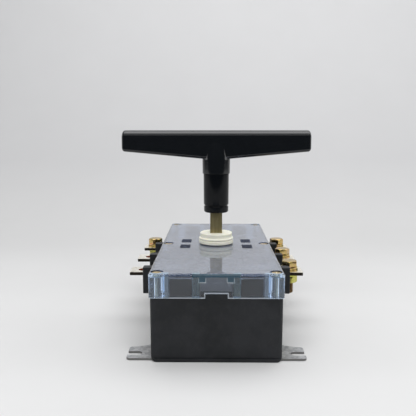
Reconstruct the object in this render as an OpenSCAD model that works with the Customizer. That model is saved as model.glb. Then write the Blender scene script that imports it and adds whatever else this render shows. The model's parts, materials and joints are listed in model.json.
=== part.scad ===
// Manual transfer switch: a two-pole double-throw switch with a centre-off position.
// A pinion on a square vertical shaft drives a rack on an insulating carriage. The carriage slides
// bridging contacts along the terminal bars: near bar to middle bar, off, or middle bar to far bar.
// Origin: centre of the base's underside. +Z up, the length lies along Y, the bars come out along X.

/* [Base] */
// Width of the base across the terminals
base_w = 108; // [106:1:135]
// Length of the base
base_l = 240; // [200:1:300]
// Height of the base up to the cover's lower edge
base_h = 53.8; // [53:0.1:70]
// Thickness of the base's walls
base_wall = 4; // [3:0.5:4.5]
// Thickness of the base's floor
floor_t = 5; // [4.5:0.5:7]
// Radius of the base's lower side corners
base_corner_r = 4.5; // [2:0.5:6]
// How much narrower the base is at the bottom than at the top, each side
base_draft = 0.4; // [0:0.1:1]

/* [Cover] */
// Height of the cover over the base
cover_h = 20.4; // [20:0.1:26]
// How far the cover stands out past the base
cover_lip = 1; // [0.5:0.1:1.5]
// Thickness of the cover's top and skirt
cover_t = 3; // [2:0.5:3]
// Distance of the cover screws from the cover's outer faces
cover_screw_in = 6.6; // [6.4:0.1:8]
// Width of the base tab that fills the notch in each end skirt
tab_w = 18; // [10:1:24]
// Height of that tab over the cover's lower edge
tab_h = 3.9; // [2:0.1:6]

/* [Terminals] */
// Distance between neighbouring bars along the side
bar_pitch = 52; // [46:1:64]
// Width of a bar
bar_w = 20; // [18:0.5:24]
// Thickness of a bar
bar_t = 3; // [2:0.1:3.6]
// How far a bar stands out past the base
bar_out = 25; // [23:0.5:32]
// Distance of the bar's hole from its tip
bar_hole_in = 11.5; // [9:0.5:12]
// Diameter of the bar's hole
bar_hole_d = 9; // [8.5:0.1:11]
// Thread diameter of the terminal bolts
bolt_d = 8; // [6:0.5:8]
// Length of the terminal bolts under the head
bolt_l = 25; // [20:1:35]

/* [Drive] */
// Width across the flats of the square shaft
shaft_w = 12; // [10:0.1:14.4]
// Height of the shaft's top end over the base's underside
shaft_top = 150; // [130:1:180]
// Tooth module of the pinion and rack
tooth_m = 1.5; // [1.25:0.05:1.8]
// Diameter of the carriage's guide rods
rod_d = 6; // [5:0.5:7.5]
// Radial clearance of parts that turn or slide on each other
run_fit = 0.05; // [0.03:0.01:0.1]

/* [Dial] */
// Diameter of the dial's rims
dial_d = 34.6; // [30:0.2:42]
// Height of the dial over the cover
dial_h = 11.5; // [9:0.5:15]

/* [Handle] */
// Length of the grip
grip_l = 186; // [150:1:230]
// Thickness of the grip
grip_t = 20; // [16:0.5:26]
// Height of the grip at its ends
grip_end_h = 20.8; // [16:0.1:26]
// Height of the grip at its middle
grip_mid_h = 28; // [22:0.1:36]
// Height of the collar under the grip
collar_h = 15; // [10:0.5:22]
// Height of the sleeve under the collar
sleeve_h = 38.8; // [30:0.5:46]

/* [Mounting straps] */
// Thickness of a strap
strap_t = 2; // [1.5:0.1:3]
// How far a strap stands out past the base on each side
strap_out = 20.5; // [16:0.5:30]
// Width of the open slot in each end of a strap
slot_w = 7.5; // [5:0.5:9]

/* [Hidden] */
$fn = 48;
e = 0.01;                          // overrun of a cut past the face it opens
seat = 0.02;                       // gap between pieces fixed together
half_w = base_w / 2;
half_l = base_l / 2;

// Bars and contacts
bar_z = base_h + 3.2;              // underside of the bars
bar_top = bar_z + bar_t;
pinion_teeth = 24;
pitch_r = tooth_m * pinion_teeth / 2;
bar_inner = pitch_r + 9;           // a bar's inner end, from the centre line: clear of the rack
bar_hole_x = half_w + bar_out - bar_hole_in;
fixing_x = half_w - 5.5;           // line of the bars' fixing screws
fixing_y = 0.34 * bar_w;
ledge_x = half_w - 9;              // inner face of the ledges under the bars
ledge_h = 15;
ledge_w = bar_w + 4;
fixing_d = 3.5;                    // bar fixing screws
fixing_head_d = 5.6;
BAR_Y = [-bar_pitch, 0, bar_pitch];
contact_gap = 0.1;                 // between a strip and a bar, for contact pressure
strip_t = 1.5;
strip_in = bar_inner + 1;
strip_w = 13;
strip_mid = strip_in + strip_w / 2;
off_gap = 12;                      // open air gap at the off position
strip_half = bar_pitch - bar_w / 2 - off_gap;

// Cover
cover_top = base_h + cover_h;
cover_in = cover_top - cover_t;    // the cover's inner top
cover_hw = half_w + cover_lip;
cover_hl = half_l + cover_lip;
cover_r = 3;                       // upright corners
cover_top_r = 2;                   // edges around the top
screw_x = cover_hw - cover_screw_in;
screw_y = cover_hl - cover_screw_in;
screw_d = 4;
screw_l = 26;
screw_head_d = 8.4;
screw_head_h = 3;
recess_d = 10;
recess_h = 3.7;
pillar_d = 2 * cover_screw_in - 0.6;   // around a cover screw
narrow_pillar_d = 6.6;             // where a pillar passes the bars' fixing screws
SCREW_POINTS = [for (x = [-1, 1], y = [-1, 0, 1]) [x * screw_x, y * screw_y]];

// Screws of the clamps, the rack and the detent springs
small_d = 3;
small_head_d = 5.4;
small_head_h = 2;
pass_fit = 0.4;                    // a hole is this much wider than the screw that passes it

// Shaft stack, from the base's floor upwards
bush_bore = 0.84 * shaft_w;        // journal diameter, a little under the square
bush_d = bush_bore + 4;
bush_flange_t = 1.5;
boss_top = floor_t + 7;
bush_top = boss_top + bush_flange_t;
washer_t = 1;
shoulder_z = bush_top + washer_t + 0.1;
cam_w = shaft_w * 2 - 0.1;
cam_h = 8;
cam_top = shoulder_z + cam_h;
cam_turn_r = 0.65 * cam_w;         // the cam's corners are turned to this radius
pinion_z = cam_top + seat;
pinion_h = 10;
pinion_top = pinion_z + pinion_h;
tip_r = pitch_r + tooth_m;
root_r = pitch_r - 1.25 * tooth_m;
travel = pitch_r * PI / 2;         // of the carriage, for a quarter turn
backlash = 0.16;
shaft_diag = shaft_w * sqrt(2);
hub_d = shaft_diag + 5;
hub_top = pinion_top + 10;
pin_d = 4;
pin_z = (pinion_top + hub_top) / 2;
dial_gap = 0.9;                    // between the cover and the dial
dial_hub_d = shaft_diag + 7;
dial_hub_z = cover_in - 3.3;
dial_z = cover_top + dial_gap;
cover_boss_d = dial_hub_d + 8;

// Carriage
carriage_z = cam_top + 0.6;
carriage_h = 11;
carriage_top = carriage_z + carriage_h;
rack_back = pitch_r + 6;
rod_x = rack_back + 9;
rod_z = carriage_z + carriage_h / 2;
carriage_hw = rod_x + 7;
opening_half = tip_r + travel + 1.6;
carriage_half = opening_half + 7.5;
riser_in = pitch_r + 1;
riser_out = bar_inner - 1;
arm_half = 9;
arm_out = strip_in + strip_w;
lower_arm_top = bar_z - contact_gap - strip_t - 4.4;
lower_arm_t = 4;
upper_arm_z = bar_top + contact_gap + strip_t + 3.6;
upper_arm_t = 3.3;
arm_top = upper_arm_z + upper_arm_t;
arm_gap = 0.6;                     // between the carriage's arms and the cover's pillars
guide_pin_d = 3.5;
guide_head_d = guide_pin_d + 2.5;
guide_head_h = 1.2;
coil_r = 3;
coil_wire = 0.8;
post_y = carriage_half + travel + 3;   // near face of a rod post
post_l = 8;
rod_half = post_y + post_l - 1;
clamp_t = 1.5;                     // plates over the rods' ends
rod_screw_x = rod_x - rod_d / 2 - 3.5;
rack_screw_x = rack_back + 3;
rack_screw_y = 32;
ear_t = 2;                         // the rack's ears, screwed down on the carriage
ear_half = 6;

// Detent
leaf_x = cam_w / 2 + 0.05;
leaf_t = 0.8;
leaf_h = 7;
leaf_y = 34;
leaf_screw_y = 30;
leaf_z = shoulder_z + cam_h / 2;

// Handle
socket_wall = 1.5;
socket_d = shaft_diag + 2 * socket_wall;
sleeve_d = socket_d + 5.5;
spigot_d = socket_d + 2;
collar_d = sleeve_d + 1.9;
grip_z = shaft_top + 10.4;         // the grip's underside at the middle
grip_top = grip_z + grip_mid_h;
sleeve_z = grip_z - collar_h - sleeve_h;
socket_z = sleeve_z + 1;
socket_top = shaft_top + 3;

// Straps
strap_front = half_l - 2.7;        // outer long edge, from the centre
strap_w = 29.7;
strap_tip_w = 24.1;
slot_y = strap_front - 10.3;
slot_end_x = half_w + 8.4;         // closed end of a slot
strap_tip_x = half_w + strap_out;
strap_corner_r = 3;
strap_screw_x = 35;
strap_screw_y = strap_front - strap_w / 2;

// Panels that stand on the base behind the cover's skirt
panel_t = 3;
side_panel_t = 3.3;
end_panel_in = 19.5;               // nearest and farthest edges from the centre line
end_panel_out = 38;
mid_panel_half = 13;
side_panel_gap = 26;               // left free at the base's corners

// Ribs and pegs behind the end skirts
rib_in = 13.4;
rib_out = 19.1;
rib_l = 5;
peg_x = 11.4;
peg_r = 2.6;

// Barriers beside the terminals
barrier_w = 9;
barrier_out = 11.5;                // past the base
barrier_near = 11;                 // front face to the bar's edge
barrier_low = base_h - 10.5;
barrier_top = bar_z + 10;
tongue_l = 5;
tongue_in = 2;

// Printed marks on the cover
mark_x = 30.5;
mark_w = 10;
mark_l = 15;
mark_t = 0.2;
MARK_Y = [-15.7, 11.8];

// An arc's points, anticlockwise from angle a0 to a1.
function arc(cx, cy, r, a0, a1, n = 6) =
    [for (i = [0 : n]) [cx + r * cos(a0 + (a1 - a0) * i / n), cy + r * sin(a0 + (a1 - a0) * i / n)]];

// A rectangle's outline with each corner of its own radius: [low left, low right, top right, top left].
function outline(x0, y0, x1, y1, r) = concat(
    arc(x0 + r[0], y0 + r[0], r[0], 180, 270),
    arc(x1 - r[1], y0 + r[1], r[1], 270, 360),
    arc(x1 - r[2], y1 - r[2], r[2], 0, 90),
    arc(x0 + r[3], y1 - r[3], r[3], 90, 180));

// Extrudes a shape drawn in X and Z along Y, centred.
module along_y(l) { rotate([90, 0, 0]) translate([0, 0, -l / 2]) linear_extrude(l) children(); }

// Extrudes a shape drawn in Y and Z along X, centred.
module along_x(l) { rotate([90, 0, 90]) translate([0, 0, -l / 2]) linear_extrude(l) children(); }

// A box from its lowest to its highest corner.
module box(a, b) { translate(a) cube(b - a); }

// Copies of what follows on the left and on the right, mirrored.
module both_sides() { children(); mirror([1, 0, 0]) children(); }

// Copies at the front and at the rear, mirrored.
module both_ends() { children(); mirror([0, 1, 0]) children(); }

// An upright round peg standing on a point.
module peg(at, h, d) { translate(at) cylinder(h = h, d = d); }

// A pan head screw with a cross recess. Its head stands on z = 0.
module pan_screw(d, l, head_d, head_h) {
    difference() {
        union() {
            translate([0, 0, -l]) cylinder(h = l + e, d = d);
            cylinder(h = head_h * 0.55, d = head_d);
            translate([0, 0, head_h * 0.55]) cylinder(h = head_h * 0.45, d1 = head_d, d2 = head_d * 0.72);
        }
        for (a = [0, 90])
            rotate(a) translate([-head_d * 0.3, -head_d * 0.06, head_h * 0.45])
                cube([head_d * 0.6, head_d * 0.12, head_h]);
    }
}

// ---- Base and what is fixed to it ----

module base_shell() {
    difference() {
        intersection() {
            along_y(base_l) polygon(concat(
                arc(-half_w + base_draft + base_corner_r, base_corner_r, base_corner_r, 180, 270),
                arc(half_w - base_draft - base_corner_r, base_corner_r, base_corner_r, 270, 360),
                [[half_w, base_h], [-half_w, base_h]]));
            along_x(base_w) polygon(outline(-half_l, 0, half_l, base_h, [3, 3, e, e]));
            linear_extrude(base_h) polygon(outline(-half_w, -half_l, half_w, half_l, [3, 3, 3, 3]));
        }
        box([-half_w + base_wall, -half_l + base_wall, floor_t],
            [half_w - base_wall, half_l - base_wall, base_h + 1]);
    }
}

module bar_ledges() {
    both_sides() for (y = BAR_Y)
        box([ledge_x, y - ledge_w / 2, bar_z - ledge_h], [half_w, y + ledge_w / 2, bar_z]);
}

module end_panels() {
    face = cover_hl - cover_t - 0.6;
    back = face - 7;
    foot_z = base_h - panel_t;
    panel_top = cover_in - 1.7;
    both_ends() {
        both_sides() box([end_panel_in, face - panel_t, foot_z], [end_panel_out, face, panel_top]);
        box([-mid_panel_half, back, foot_z], [mid_panel_half, back + panel_t, panel_top]);
        box([-mid_panel_half, back, foot_z], [mid_panel_half, half_l - base_wall / 2, base_h]);
        box([-tab_w / 2, half_l - 2, base_h - 2], [tab_w / 2, cover_hl - 0.05, base_h + tab_h]);
    }
}

module side_panels() {
    inner = bar_pitch / 2 - ledge_w / 2 - 1;
    start = bar_pitch + ledge_w / 2 + 2;
    outer = half_l - bar_pitch - ledge_w / 2 - side_panel_gap;
    face = half_w - 2.4;
    back = face - side_panel_t;
    foot_z = base_h - panel_t;
    panel_top = cover_in - 5;
    both_sides() both_ends() {
        box([back, bar_pitch / 2 - inner, foot_z], [face, bar_pitch / 2 + inner, panel_top]);
        box([back, start, foot_z], [face, start + outer, panel_top]);
    }
}

module detent_posts() {
    both_sides() both_ends()
        box([leaf_x + leaf_t + seat, leaf_y - 8, floor_t - 1],
            [leaf_x + leaf_t + 8, leaf_y, cam_top - 0.1]);
}

module rod_posts() {
    both_sides() both_ends()
        box([rod_screw_x - 3.5, post_y, floor_t - 1], [rod_x + 6, post_y + post_l, rod_z + rod_d / 2]);
}

// The pieces that a barrier's tongue slides into are cut a little larger than the tongue.
module barrier_tongues(grow) {
    both_sides() for (y = BAR_Y)
        box([half_w - tongue_in - grow, y - bar_w / 2 - barrier_near + 2 - grow, barrier_low],
            [half_w + 0.5, y - bar_w / 2 - barrier_near + 2 + tongue_l + grow, base_h + 1]);
}

module base() {
    color("#2b2c2e") difference() {
        union() {
            base_shell();
            bar_ledges();
            end_panels();
            side_panels();
            detent_posts();
            rod_posts();
            peg([0, 0, floor_t - 1], boss_top - floor_t + 1, bush_d + 10);
            both_sides() both_ends() {
                peg([strap_screw_x, strap_screw_y, floor_t - 1], 8, screw_d + 6);
                peg([screw_x, screw_y, floor_t - 1], base_h - floor_t + 1, screw_d + 5);
            }
        }
        // shaft bush, blind
        peg([0, 0, floor_t - 2], boss_top, bush_d + 2 * seat);
        // cover screws
        for (p = SCREW_POINTS)
            peg([p[0], p[1], cover_top - recess_h - screw_l - 1], base_h, screw_d + 2 * seat);
        // bar fixing screws
        both_sides() for (y = BAR_Y, s = [-1, 1])
            peg([fixing_x, y + s * fixing_y, bar_z - 11], 12, fixing_d + 2 * seat);
        // detent spring screws
        both_sides() both_ends() translate([leaf_x, leaf_screw_y, leaf_z])
            rotate([0, 90, 0]) cylinder(h = leaf_t + 7, d = small_d + 2 * seat);
        // rod saddles and clamp screws
        both_sides() both_ends() {
            translate([rod_x, rod_half + seat, rod_z])
                rotate([90, 0, 0]) cylinder(h = post_l + 2, d = rod_d + 2 * seat);
            box([rod_x - rod_d / 2 - seat, post_y - 1, rod_z],
                [rod_x + rod_d / 2 + seat, rod_half + seat, rod_z + rod_d]);
            peg([rod_screw_x, post_y + post_l / 2, rod_z - 8], 20, small_d + 2 * seat);
        }
        // strap grooves and screws
        both_ends() {
            box([-half_w - 1, strap_front - strap_w - seat, -1],
                [half_w + 1, strap_front + seat, strap_t + seat]);
            both_sides() peg([strap_screw_x, strap_screw_y, -1], 12, screw_d + 2 * seat);
        }
        barrier_tongues(seat);
    }
}

module terminal_barriers() {
    under_cover = base_h - 0.3;
    color("#232426") both_sides() for (y = BAR_Y) {
        front = y - bar_w / 2 - barrier_near;
        difference() {
            union() {
                box([half_w + 0.05, front, barrier_low],
                    [half_w + barrier_out, front + barrier_w, barrier_top]);
                box([half_w - tongue_in + seat, front + 2, barrier_low + seat],
                    [half_w + 1, front + 2 + tongue_l, under_cover]);
            }
            box([half_w - 3, front - 1, under_cover],
                [cover_hw + 0.3, front + barrier_w + 1, barrier_top + 1]);
        }
    }
}

// One bar, drawn on the right. The middle one also lets a cover screw through.
module bar(y, hole_middle) {
    linear_extrude(bar_t) difference() {
        polygon(outline(bar_inner, y - bar_w / 2, half_w + bar_out, y + bar_w / 2, [0.6, 1, 1, 0.6]));
        translate([bar_hole_x, y]) circle(d = bar_hole_d);
        for (s = [-1, 1]) translate([fixing_x, y + s * fixing_y]) circle(d = fixing_d + 0.1);
        if (hole_middle) translate([screw_x, y]) circle(d = screw_d + 1);
    }
}

module bar_at(side, y) {
    color("#c9c3b6") translate([0, 0, bar_z]) mirror([side < 0 ? 1 : 0, 0, 0]) bar(y, y == 0);
}

module source_1_bar_left() { bar_at(-1, -bar_pitch); }
module load_bar_left() { bar_at(-1, 0); }
module source_2_bar_left() { bar_at(-1, bar_pitch); }
module source_1_bar_right() { bar_at(1, -bar_pitch); }
module load_bar_right() { bar_at(1, 0); }
module source_2_bar_right() { bar_at(1, bar_pitch); }

module bar_fixing_screws() {
    color("#9c9a90") both_sides() for (y = BAR_Y, s = [-1, 1])
        translate([fixing_x, y + s * fixing_y, bar_top + seat])
            pan_screw(fixing_d, bar_t + 10, fixing_head_d, 2.2);
}

// Which terminals carry a bolt: all three on the right, the far one on the left.
BOLTED = [[1, -bar_pitch], [1, 0], [1, bar_pitch], [-1, bar_pitch]];
bolt_washer_t = 1.6;
spring_washer_t = 0.26 * bolt_d;
bolt_head_h = 0.66 * bolt_d;
nut_h = 0.81 * bolt_d;
hex_d = 1.625 * bolt_d / cos(30);
washer_d = 2 * bolt_d;
spring_z = bar_top + bolt_washer_t + 2 * seat;
head_z = spring_z + spring_washer_t + seat;

module at_bolts() { for (b = BOLTED) translate([b[0] * bar_hole_x, b[1], 0]) children(); }

// A hexagon with its corners turned off.
module hex_prism(h) {
    intersection() {
        cylinder(h = h, d = hex_d, $fn = 6);
        rotate_extrude() polygon([
            [0, 0], [hex_d / 2 - 0.6, 0], [hex_d / 2, 0.5],
            [hex_d / 2, h - 0.5], [hex_d / 2 - 0.9, h], [0, h]]);
    }
}

module terminal_bolts() {
    color("#b79a4a") at_bolts() translate([0, 0, head_z]) {
        rotate(12) hex_prism(bolt_head_h);
        peg([0, 0, -bolt_l + 0.6], bolt_l, bolt_d);
        translate([0, 0, -bolt_l]) cylinder(h = 0.61, d1 = bolt_d - 1.4, d2 = bolt_d);
    }
}

module terminal_spring_washers() {
    color("#a99155") at_bolts() translate([0, 0, spring_z]) difference() {
        cylinder(h = spring_washer_t, d = 1.85 * bolt_d);
        peg([0, 0, -1], spring_washer_t + 2, bolt_d + 0.2);
        rotate(40) translate([0, -0.4, -1]) cube([bolt_d, 0.8, spring_washer_t + 2]);
    }
}

module terminal_flat_washers() {
    color("#b39d5c") at_bolts() for (z = [bar_top + seat, bar_z - bolt_washer_t - seat])
        translate([0, 0, z]) difference() {
            cylinder(h = bolt_washer_t, d = washer_d);
            peg([0, 0, -1], bolt_washer_t + 2, bolt_d + pass_fit);
        }
}

module terminal_nuts() {
    nut_z = bar_z - bolt_washer_t - 2 * seat - nut_h;
    color("#b8a544") at_bolts() translate([0, 0, nut_z]) difference() {
        rotate(20) hex_prism(nut_h);
        peg([0, 0, -1], nut_h + 2, bolt_d + 2 * run_fit);
    }
}

module strap() {
    r = strap_corner_r;
    slot_mid = slot_end_x + slot_w / 2;
    tip_back = strap_front - strap_tip_w;
    body_back = strap_front - strap_w;
    half_outline = concat(
        [[0, body_back], [half_w, body_back], [strap_tip_x - 6, tip_back]],
        arc(strap_tip_x - r, tip_back + r, r, 290, 360, 4),
        arc(strap_tip_x - r, strap_front - r, r, 0, 90),
        [[0, strap_front]]);
    difference() {
        linear_extrude(strap_t) {
            polygon(half_outline);
            mirror([1, 0]) polygon(half_outline);
        }
        both_sides() {
            peg([slot_mid, slot_y, -1], strap_t + 2, slot_w);
            box([slot_mid, slot_y - slot_w / 2, -1], [strap_tip_x + 1, slot_y + slot_w / 2, strap_t + 1]);
            translate([strap_screw_x, strap_screw_y, -e])
                cylinder(h = strap_t + 2 * e, r1 = screw_d / 2 + strap_t + seat, r2 = screw_d / 2 + seat);
        }
    }
}

module front_mounting_strap() { color("#b9bcc0") mirror([0, 1, 0]) strap(); }
module rear_mounting_strap() { color("#b9bcc0") strap(); }

module strap_screws() {
    color("#a8a8a4") both_sides() both_ends() translate([strap_screw_x, strap_screw_y, 0]) difference() {
        union() {
            cylinder(h = strap_t, r1 = screw_d / 2 + strap_t - seat, r2 = screw_d / 2);
            translate([0, 0, strap_t - e]) cylinder(h = 8, d = screw_d);
        }
        // driving slot
        box([-3, -0.5, -e], [3, 0.5, 0.8]);
    }
}

// ---- Cover ----

module bar_notches() {
    half = ledge_w / 2 + 0.4;
    both_sides() for (y = BAR_Y)
        box([half_w - 3.5, y - half, base_h - 1], [cover_hw + 1, y + half, bar_top + 1]);
}

module cover() {
    inner_w = cover_hw - cover_t;
    inner_l = cover_hl - cover_t;
    edges = [e, e, cover_top_r, cover_top_r];
    color([0.62, 0.72, 0.86, 0.45]) difference() {
        union() {
            difference() {
                intersection() {
                    along_y(2 * cover_hl) polygon(outline(-cover_hw, base_h, cover_hw, cover_top, edges));
                    along_x(2 * cover_hw) polygon(outline(-cover_hl, base_h, cover_hl, cover_top, edges));
                    linear_extrude(cover_top)
                        polygon(outline(-cover_hw, -cover_hl, cover_hw, cover_hl, cover_r * [1, 1, 1, 1]));
                }
                box([-inner_w, -inner_l, base_h - 1], [inner_w, inner_l, cover_in]);
                bar_notches();
            }
            // boss around the dial's hub
            peg([0, 0, cover_in - 4], 5, cover_boss_d);
            // corner pillars
            both_sides() both_ends() peg([screw_x, screw_y, base_h + 0.1], cover_in - base_h, pillar_d);
            // middle pillars, narrow where they pass the bars' fixing screws
            both_sides() {
                peg([screw_x, 0, arm_top + arm_gap], cover_in + 1 - arm_top - arm_gap, pillar_d);
                peg([screw_x, 0, bar_top + 0.1], cover_in - bar_top, narrow_pillar_d);
            }
            // ribs and round pegs behind each end skirt
            both_ends() both_sides() {
                box([rib_in, inner_l - rib_l, base_h + 0.4], [rib_out, inner_l + 1, cover_in + 1]);
                translate([peg_x, inner_l + 1, cover_in - 1.4])
                    rotate([90, 0, 0]) cylinder(h = 4, r = peg_r);
            }
        }
        peg([0, 0, cover_in - 6], cover_t + 8, dial_hub_d + 2 * run_fit);
        for (p = SCREW_POINTS) {
            peg([p[0], p[1], cover_top - recess_h], recess_h + 1, recess_d);
            peg([p[0], p[1], base_h - 1], cover_h, screw_d + pass_fit);
        }
        // notches for the base's tabs
        both_ends() box([-tab_w / 2 - 0.2, inner_l - 1, base_h - 1],
                        [tab_w / 2 + 0.2, cover_hl + 1, base_h + tab_h + 0.05]);
    }
}

module cover_screws() {
    color("#b48f3c") for (p = SCREW_POINTS)
        translate([p[0], p[1], cover_top - recess_h + seat]) rotate(p[1] * 0.4 + 20)
            pan_screw(screw_d, screw_l, screw_head_d, screw_head_h);
}

module position_labels() {
    color("#2d3f66") both_sides() for (y = MARK_Y)
        box([mark_x - mark_w / 2, y - mark_l / 2, cover_top + seat],
            [mark_x + mark_w / 2, y + mark_l / 2, cover_top + seat + mark_t]);
}

// ---- Shaft bearings, rods and detent springs ----

module shaft_bush() {
    color("#b08d4f") difference() {
        union() {
            peg([0, 0, floor_t - 2 + seat], boss_top - floor_t + 2, bush_d);
            peg([0, 0, boss_top + seat], bush_flange_t - seat, bush_d + 4);
        }
        peg([0, 0, -1], bush_top + 2, bush_bore + 2 * run_fit);
    }
}

module guide_rods() {
    color("#c2c4c8") both_sides()
        translate([rod_x, rod_half, rod_z]) rotate([90, 0, 0]) cylinder(h = 2 * rod_half, d = rod_d);
}

module rod_clamps() {
    z = rod_z + rod_d / 2 + seat;
    color("#b4b6b8") both_sides() both_ends() difference() {
        box([rod_screw_x - 3, post_y + 0.5, z], [rod_x + 5, post_y + post_l - 0.5, z + clamp_t]);
        peg([rod_screw_x, post_y + post_l / 2, z - 1], 4, small_d + pass_fit);
    }
}

module rod_clamp_screws() {
    color("#8f8f8a") both_sides() both_ends()
        translate([rod_screw_x, post_y + post_l / 2, rod_z + rod_d / 2 + clamp_t + 2 * seat])
            pan_screw(small_d, 9, small_head_d, small_head_h);
}

module leaf() {
    difference() {
        box([leaf_x, -leaf_y, leaf_z - leaf_h / 2], [leaf_x + leaf_t, leaf_y, leaf_z + leaf_h / 2]);
        for (s = [-1, 1]) translate([leaf_x - 1, s * leaf_screw_y, leaf_z])
            rotate([0, 90, 0]) cylinder(h = 3, d = small_d + pass_fit);
    }
}

module left_detent_spring() { color("#9aa0a6") mirror([1, 0, 0]) leaf(); }
module right_detent_spring() { color("#9aa0a6") leaf(); }

module detent_spring_screws() {
    color("#8f8f8a") both_sides() both_ends()
        translate([leaf_x - seat, leaf_screw_y, leaf_z]) rotate([0, -90, 0])
            pan_screw(small_d, leaf_t + 6, small_head_d, small_head_h);
}

// ---- Shaft and what turns with it ----

module square_hole(z0, z1, gap) {
    w = shaft_w + 2 * gap;
    translate([-w / 2, -w / 2, z0]) cube([w, w, z1 - z0]);
}

module operating_shaft() {
    color("#8a7a3e") difference() {
        union() {
            peg([0, 0, floor_t - 1], shoulder_z - floor_t + 1.5, bush_bore);
            intersection() {
                box([-shaft_w / 2, -shaft_w / 2, shoulder_z], [shaft_w / 2, shaft_w / 2, shaft_top - 0.05]);
                // the corners are bevelled at the top end
                rotate_extrude() polygon([
                    [0, 0], [shaft_diag, 0], [shaft_diag, shaft_top - shaft_diag / 2 - 1.5],
                    [shaft_diag / 2 - 1.5, shaft_top], [0, shaft_top]]);
            }
        }
        translate([-shaft_w, 0, pin_z]) rotate([0, 90, 0]) cylinder(h = 2 * shaft_w, d = pin_d + 2 * seat);
    }
}

module shaft_washer() {
    color("#b4b6b8") translate([0, 0, bush_top + 0.05]) difference() {
        cylinder(h = washer_t, d = bush_d + 4);
        peg([0, 0, -1], washer_t + 2, bush_bore + 2 * run_fit);
    }
}

module detent_cam() {
    color("#7d8084") difference() {
        intersection() {
            box([-cam_w / 2, -cam_w / 2, shoulder_z], [cam_w / 2, cam_w / 2, cam_top]);
            translate([0, 0, shoulder_z - 1]) cylinder(h = cam_h + 2, r = cam_turn_r);
        }
        square_hole(0, cam_top + 1, seat);
    }
}

function involute_angle(a) = tan(a) * 180 / PI - a;

// Half of a tooth's angle at radius r, for a 20 degree involute with backlash.
function half_tooth(r) =
    90 / pinion_teeth - backlash / 4 / pitch_r * 180 / PI
    + involute_angle(20) - involute_angle(acos(min(1, pitch_r * cos(20) / r)));

module pinion_outline() {
    steps = 5;
    start_r = max(root_r, pitch_r * cos(20));
    radii = concat([root_r], [for (i = [0 : steps]) start_r + (tip_r - start_r) * i / steps]);
    n = len(radii) - 1;
    polygon([for (t = [0 : pinion_teeth - 1]) let (c = 360 * t / pinion_teeth)
        each concat(
            [for (i = [0 : n]) let (a = c - half_tooth(radii[i])) radii[i] * [cos(a), sin(a)]],
            [for (i = [n : -1 : 0]) let (a = c + half_tooth(radii[i])) radii[i] * [cos(a), sin(a)]])]);
}

module drive_pinion() {
    color("#c0a060") difference() {
        union() {
            translate([0, 0, pinion_z]) linear_extrude(pinion_h) pinion_outline();
            peg([0, 0, pinion_top - 1], hub_top - pinion_top + 1, hub_d);
        }
        square_hole(0, hub_top + 1, seat);
        translate([-hub_d, 0, pin_z]) rotate([0, 90, 0]) cylinder(h = 2 * hub_d, d = pin_d + 2 * seat);
    }
}

module pinion_pin() {
    color("#9a9a96") translate([-hub_d / 2 + 0.3, 0, pin_z])
        rotate([0, 90, 0]) cylinder(h = hub_d - 0.6, d = pin_d);
}

module spacer_sleeve() {
    color("#c9c9c4") translate([0, 0, hub_top + 0.05]) difference() {
        cylinder(h = dial_hub_z - hub_top - 0.1, d = shaft_diag + 4);
        peg([0, 0, -1], dial_hub_z, shaft_diag + 0.3);
    }
}

module position_dial() {
    r = dial_d / 2;
    step = dial_h / 11.5;
    color("#e9e4d2") difference() {
        rotate_extrude($fn = 96) polygon(concat(
            [[0, dial_hub_z], [dial_hub_d / 2, dial_hub_z], [dial_hub_d / 2, dial_z]],
            arc(r - 0.8, dial_z + 0.8, 0.8, 270, 360),
            arc(r - 0.5, dial_z + 3.1 * step, 0.5, 0, 90, 4),
            [[r - 0.9, dial_z + 3.1 * step + 0.5], [r - 0.9, dial_z + 3.1 * step + 0.9]],
            arc(r - 0.6, dial_z + 3.1 * step + 1.5, 0.6, 270, 360, 4),
            arc(r - 0.8, dial_z + 5.2 * step, 0.8, 0, 90),
            [[r - 1.2, dial_z + 6 * step + 0.3], [r - 1.2, dial_z + 8 * step],
             [r - 1.5, dial_z + 8.2 * step], [r - 1.5, dial_z + 8.5 * step], [r - 1.1, dial_z + 8.7 * step]],
            arc(r - 1.8, dial_z + 10.6 * step - 0.6, 0.7, 0, 90),
            [[0, dial_z + 10.6 * step + 0.1]]));
        square_hole(0, cover_top + 2 * dial_h, seat);
    }
}

// ---- Carriage and what slides with it ----

module contact_carriage() {
    shelf_top = carriage_top + 10;
    color("#4a2f26") difference() {
        union() {
            difference() {
                box([-carriage_hw, -carriage_half, carriage_z], [carriage_hw, carriage_half, carriage_top]);
                box([-tip_r - 1.4, -opening_half, carriage_z - 1],
                    [rack_back + seat, opening_half, carriage_top + 1]);
            }
            both_sides() {
                arm_x = riser_out - 1;
                box([rack_back + seat, -arm_half, carriage_top - 1], [riser_out + 8, arm_half, shelf_top]);
                box([riser_in, -arm_half, carriage_top + 0.1], [riser_out, arm_half, arm_top]);
                box([arm_x, -arm_half, lower_arm_top - lower_arm_t], [arm_out, arm_half, lower_arm_top]);
                box([arm_x, -arm_half, upper_arm_z], [arm_out, arm_half, arm_top]);
            }
        }
        both_sides() {
            translate([rod_x, carriage_half + 1, rod_z]) rotate([90, 0, 0])
                cylinder(h = 2 * carriage_half + 2, d = rod_d + 2 * run_fit);
            peg([strip_mid, 0, shelf_top + 2], cover_top, guide_pin_d + 2 * run_fit);
        }
        for (y = [-1, 1]) peg([rack_screw_x, y * rack_screw_y, carriage_top - 8], 12, small_d + 2 * seat);
    }
}

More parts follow.
